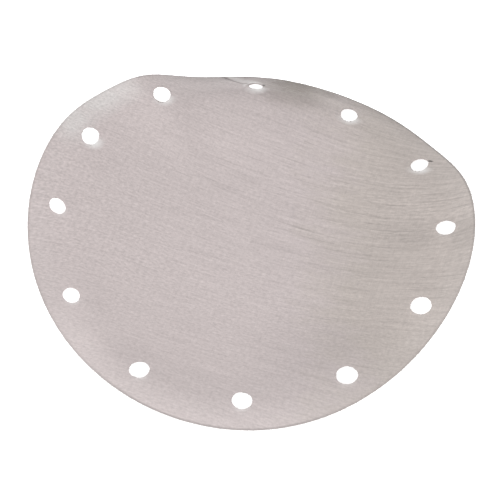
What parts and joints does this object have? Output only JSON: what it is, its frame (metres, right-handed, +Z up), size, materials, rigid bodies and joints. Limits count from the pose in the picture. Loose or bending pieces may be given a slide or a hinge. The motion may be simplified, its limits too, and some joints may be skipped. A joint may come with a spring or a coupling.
{
  "type": "wire mesh filter disc",
  "caption": "Round disc of fine woven stainless wire cloth with a ring of punched bolt holes near its rim, gently curled and wavy, for clamping between flanges as a filter screen.",
  "frame": {"origin": "on the surface the disc lies on, under the middle of its bounding box", "axes": "+Z up off the surface, +Y toward the rear of the picture, +X to its right"},
  "size_m": [0.2218, 0.225, 0.0361],
  "materials": {
    "cloth": "satin woven wire, warm grey"
  },
  "bodies": {
    "root": {"mesh_disc": "cloth"}
  },
  "joints": []
}
